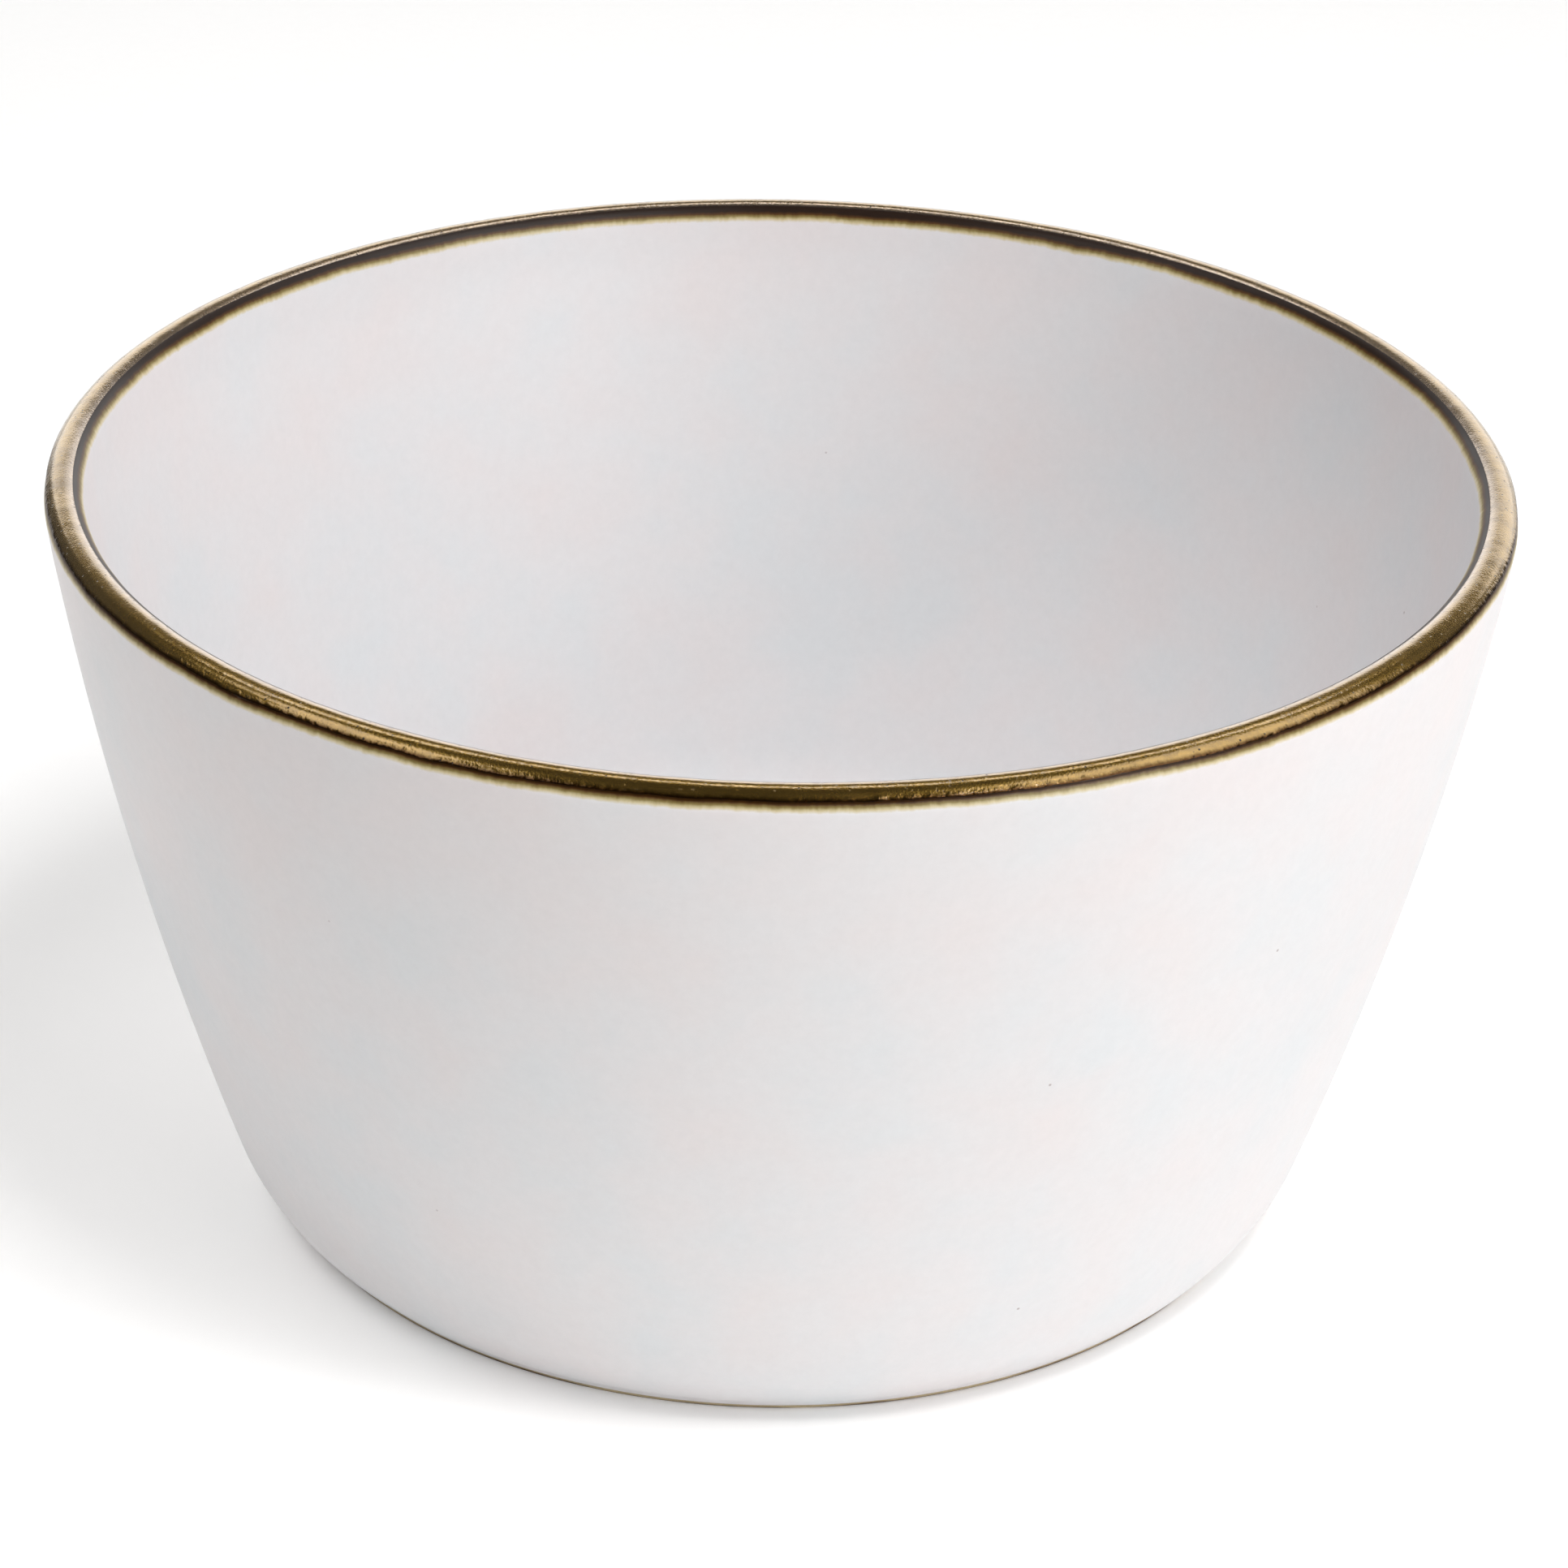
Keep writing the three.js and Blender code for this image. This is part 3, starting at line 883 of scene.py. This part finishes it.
class BOWL_OT_white_glaze(bpy.types.Operator):
    """Lay the white glaze on the outside, the inside and the underside of the bowl"""

    bl_idname = "bowl.white_glaze"
    bl_label = "Lay White Glaze"

    def execute(self, context):
        shape, glaze = context.scene.bowl_shape, context.scene.bowl_glaze
        section = Section(shape)
        tree = turned_tree(shape)
        white = white_glaze_material(shape, glaze)
        lap = 0.5 * glaze.stain_spread / section.lip_radius
        waves = {"ripple": glaze.ripple, "bead_ripple": glaze.bead_ripple}
        settings = {"rounds": shape.rounds, **waves}
        top = STRAIGHT_UP - lap
        outer = [*section.outside(0, top, GLAZE_SINK), *section.outside(GLAZE, top, fine=0.4)[::-1]]
        piece = shaped("outer_white_glaze", [*outer, outer[0]], tree, white, **settings)
        belongs(piece, "outer_glaze")
        top = STRAIGHT_UP + lap
        inner = [*section.inside(0, top, GLAZE_SINK)[::-1], *section.inside(GLAZE, top, fine=0.4)]
        piece = shaped("inner_white_glaze", inner, tree, white, **settings)
        belongs(piece, "inner_glaze")
        edge = section.foot_inner - (RECESS_DEPTH + GLAZE - FOOT_TOP)
        roll = BASE_GLAZE_ROLL
        disc = [
            *[Vector(((edge - roll) * i / FLOOR_STEPS, RECESS_DEPTH))
              for i in range(FLOOR_STEPS + 1)],
            *arc((edge - roll, RECESS_DEPTH + roll), roll, -STRAIGHT_UP, 0, FOOT_STEPS)[1:],
            Vector((edge, RECESS_DEPTH + GLAZE)),
            Vector((0, RECESS_DEPTH + GLAZE)),
        ]
        piece = shaped(
            "base_white_glaze", disc, tree, white, rounds=shape.rounds, ripple=glaze.ripple)
        belongs(piece, "base_glaze")
        return {"FINISHED"}


class BOWL_OT_rim_coats(bpy.types.Operator):
    """Lay the iron stain over the lip, and the bronze glaze on top of it"""

    bl_idname = "bowl.rim_coats"
    bl_label = "Lay Rim Coats"

    def execute(self, context):
        shape, glaze = context.scene.bowl_shape, context.scene.bowl_glaze
        tree = rim_tree(shape, glaze)
        coats = (
            ("rim_iron_stain", "rim_stain", "iron_stain", rim_stain_material(shape, glaze),
             glaze.stain_spread, STAIN_DEPTHS),
            ("rim_bronze_glaze", "rim_glaze", "bronze_glaze", bronze_material(shape, glaze),
             glaze.bronze_spread, BRONZE_DEPTHS),
        )
        across = [math.cos(math.pi * i / COAT_STEPS) for i in range(COAT_STEPS + 1)]
        for name, node, slot, material, spread, (top, bottom) in coats:
            drop = bottom - top
            upper = [Vector((spread * x, top + drop * abs(x) ** COAT_FLATNESS)) for x in across]
            # The hidden underside needs only every third point.
            lower = [Vector((spread * x, bottom)) for x in across[-3:1:-3]]
            points = [*upper, *lower, upper[0]]
            piece = shaped(
                name, points, tree, material, rounds=4 * shape.rounds, spread=spread,
                ripple=glaze.ripple, bead_ripple=glaze.bead_ripple)
            belongs(piece, node)
        return {"FINISHED"}


class BOWL_OT_studio(bpy.types.Operator):
    """Lay the floor, hang the lights and place the camera"""

    bl_idname = "bowl.studio"
    bl_label = "Set Up Studio"

    def execute(self, context):
        studio = context.scene.bowl_studio
        mesh = bpy.data.meshes.new("floor")
        corners = [(x * FLOOR_HALF, y * FLOOR_HALF, 0)
                   for x, y in ((-1, -1), (1, -1), (1, 1), (-1, 1))]
        mesh.from_pydata(corners, [], [(0, 1, 2, 3)])
        mesh.materials.append(floor_material(studio))
        floor = bpy.data.objects.new("floor", mesh)
        context.collection.objects.link(floor)
        self.light(context)
        self.photograph(context, studio)
        return {"FINISHED"}

    def light(self, context):
        """Soft panels round the bowl, and a sky that is lit near the horizon and dark overhead."""
        fills = {name for name, *_ in FILL_PANELS}
        for name, turn, height, distance, width, tall, watts in (*PANELS, *FILL_PANELS):
            turn, height = math.radians(turn), math.radians(height)
            data = bpy.data.lights.new(name, "AREA")
            data.shape = "RECTANGLE"
            data.size, data.size_y, data.energy = width, tall, watts
            level = math.cos(height)
            towards = Vector((
                math.cos(turn) * level, math.sin(turn) * level, math.sin(height)))
            panel = bpy.data.objects.new(name, data)
            panel.location = Vector((0, 0, BOWL_HEIGHT / 2)) + distance * towards
            panel.rotation_euler = towards.to_track_quat("Z", "Y").to_euler()
            panel.visible_glossy = name not in fills
            context.collection.objects.link(panel)
        world = bpy.data.worlds.new("Studio sky")
        world.use_nodes = True
        tree = world.node_tree
        tree.nodes.clear()
        direction = add_node(tree, "ShaderNodeTexCoord").outputs["Generated"]
        up = add_node(tree, "ShaderNodeSeparateXYZ", {0: direction}).outputs["Z"]
        glow = add_node(
            tree, "ShaderNodeMapRange",
            {"Value": up, "From Min": 0.35, "From Max": 0.75, "To Min": 0.08, "To Max": 0.02},
            interpolation_type="SMOOTHSTEP")
        sky = add_node(tree, "ShaderNodeBackground", {"Color": (0.98, 0.99, 1.0), "Strength": glow})
        add_node(tree, "ShaderNodeOutputWorld", {"Surface": sky})
        context.scene.world = world
        context.scene.view_settings.view_transform = "Standard"

    def photograph(self, context, studio):
        """The camera looks down at the bowl from the front with a long lens."""
        data = bpy.data.cameras.new("camera")
        data.sensor_width = 36
        data.lens = studio.lens
        data.clip_start, data.clip_end = 0.01, 20
        camera = bpy.data.objects.new("camera", data)
        camera.location = studio.camera
        view = Vector(studio.aim) - Vector(studio.camera)
        roll = Quaternion((0, 0, 1), studio.roll)
        camera.rotation_euler = (view.to_track_quat("-Z", "Y") @ roll).to_euler()
        context.collection.objects.link(camera)
        context.scene.camera = camera


class BOWL_PT_panel(bpy.types.Panel):
    """Sidebar panel with the steps in making order and the sizes behind them"""

    bl_label = "Porcelain Bowl"
    bl_space_type = "VIEW_3D"
    bl_region_type = "UI"
    bl_category = "Bowl"

    def draw(self, context):
        layout = self.layout
        for operator in OPERATORS:
            layout.operator(operator.bl_idname)
        scene = context.scene
        for group, label in ((scene.bowl_shape, "Shape"), (scene.bowl_glaze, "Glaze"),
                             (scene.bowl_studio, "Studio")):
            box = layout.box()
            box.label(text=label)
            for key in group.bl_rna.properties.keys():
                if key not in {"rna_type", "name"}:
                    box.prop(group, key)


OPERATORS = (BOWL_OT_clay, BOWL_OT_white_glaze, BOWL_OT_rim_coats, BOWL_OT_studio)
CLASSES = (BowlShape, BowlGlaze, BowlStudio, *OPERATORS, BOWL_PT_panel)


def register():
    for cls in CLASSES:
        bpy.utils.register_class(cls)
    bpy.types.Scene.bowl_shape = bpy.props.PointerProperty(type=BowlShape)
    bpy.types.Scene.bowl_glaze = bpy.props.PointerProperty(type=BowlGlaze)
    bpy.types.Scene.bowl_studio = bpy.props.PointerProperty(type=BowlStudio)


def unregister():
    del bpy.types.Scene.bowl_studio
    del bpy.types.Scene.bowl_glaze
    del bpy.types.Scene.bowl_shape
    for cls in reversed(CLASSES):
        bpy.utils.unregister_class(cls)


def main():
    register()
    bpy.ops.bowl.clay()
    bpy.ops.bowl.white_glaze()
    bpy.ops.bowl.rim_coats()
    bpy.ops.bowl.studio()


if __name__ == "__main__":
    main()
